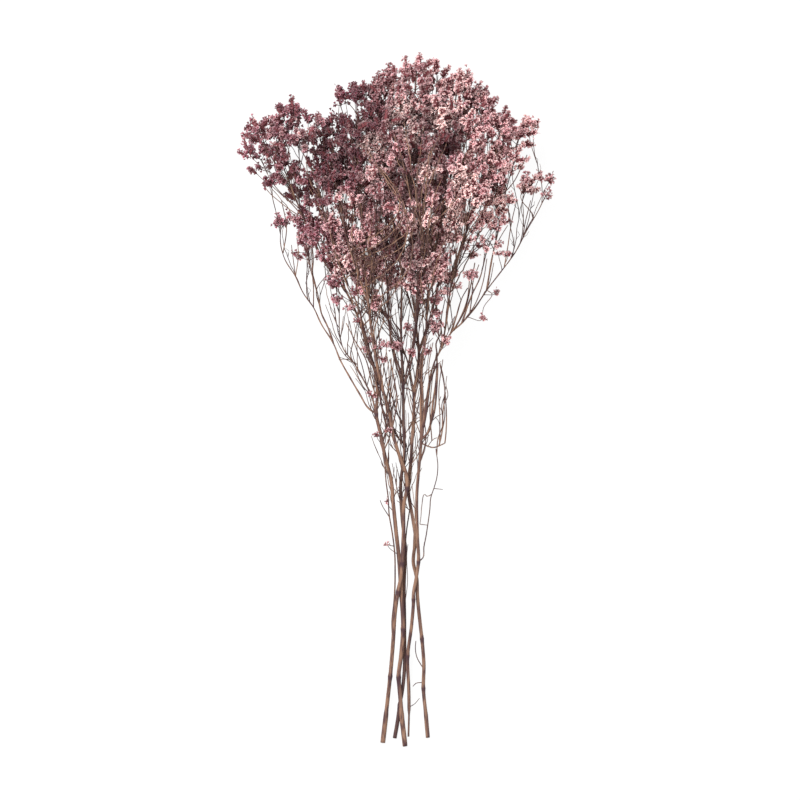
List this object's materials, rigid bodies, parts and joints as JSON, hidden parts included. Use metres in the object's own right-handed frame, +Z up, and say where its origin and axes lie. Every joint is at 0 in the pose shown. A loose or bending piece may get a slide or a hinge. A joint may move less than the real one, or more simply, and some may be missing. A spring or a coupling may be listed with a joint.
{
  "type": "dried flower bunch",
  "caption": "Loose bunch of dried, much-branched flower stems lying flat, with dense domed sprays of tiny papery florets at the tips.",
  "frame": {"origin": "under the middle of the bunch's bounding box, on the surface that it lies on", "axes": "+Y along the stems towards the flowers, +Z up from the surface, +X to the right when seen from above with the flowers away from the viewer"},
  "size_m": [0.3121, 0.6957, 0.1632],
  "materials": {
    "stem_1": "dry, matte, finely ridged bark",
    "stem_2": "dry, matte, finely ridged bark",
    "stem_3": "dry, matte, finely ridged bark",
    "stem_4": "dry, matte, finely ridged bark",
    "stem_5": "dry, matte, finely ridged bark",
    "florets_mauve": "dry, papery, dark mauve with pale rims",
    "florets_pink": "dry, papery, dusty pink with dark feet"
  },
  "bodies": {
    "root": {"stem_1": "stem_1", "stem_2": "stem_2", "stem_3": "stem_3", "stem_4": "stem_4", "stem_5": "stem_5", "spray_01": "florets_pink", "spray_02": "florets_mauve", "spray_03": "florets_mauve", "spray_04": "florets_pink", "spray_05": "florets_pink", "spray_06": "florets_pink", "spray_07": "florets_pink", "spray_08": "florets_mauve", "spray_09": "florets_mauve", "spray_10": "florets_mauve", "spray_11": "florets_mauve", "spray_12": "florets_pink", "spray_13": "florets_pink", "spray_14": "florets_pink", "spray_15": "florets_pink", "spray_16": "florets_pink", "spray_17": "florets_pink", "spray_18": "florets_pink", "spray_19": "florets_pink", "spray_20": "florets_pink", "spray_21": "florets_mauve", "spray_22": "florets_pink", "spray_23": "florets_pink", "spray_24": "florets_pink", "spray_25": "florets_pink", "spray_26": "florets_mauve", "spray_27": "florets_pink", "spray_28": "florets_pink", "spray_29": "florets_pink", "spray_30": "florets_pink", "spray_31": "florets_pink", "spray_32": "florets_pink", "spray_33": "florets_pink", "spray_34": "florets_pink", "spray_35": "florets_mauve", "spray_36": "florets_mauve", "spray_37": "florets_mauve", "spray_38": "florets_mauve", "spray_39": "florets_mauve", "spray_40": "florets_mauve", "spray_41": "florets_mauve", "spray_42": "florets_pink", "spray_43": "florets_pink", "spray_44": "florets_pink", "spray_45": "florets_pink", "spray_46": "florets_pink", "spray_47": "florets_pink", "spray_48": "florets_pink", "spray_49": "florets_pink", "spray_50": "florets_pink", "spray_51": "florets_pink", "spray_52": "florets_pink", "spray_53": "florets_pink", "spray_54": "florets_pink", "spray_55": "florets_mauve"}
  },
  "joints": []
}
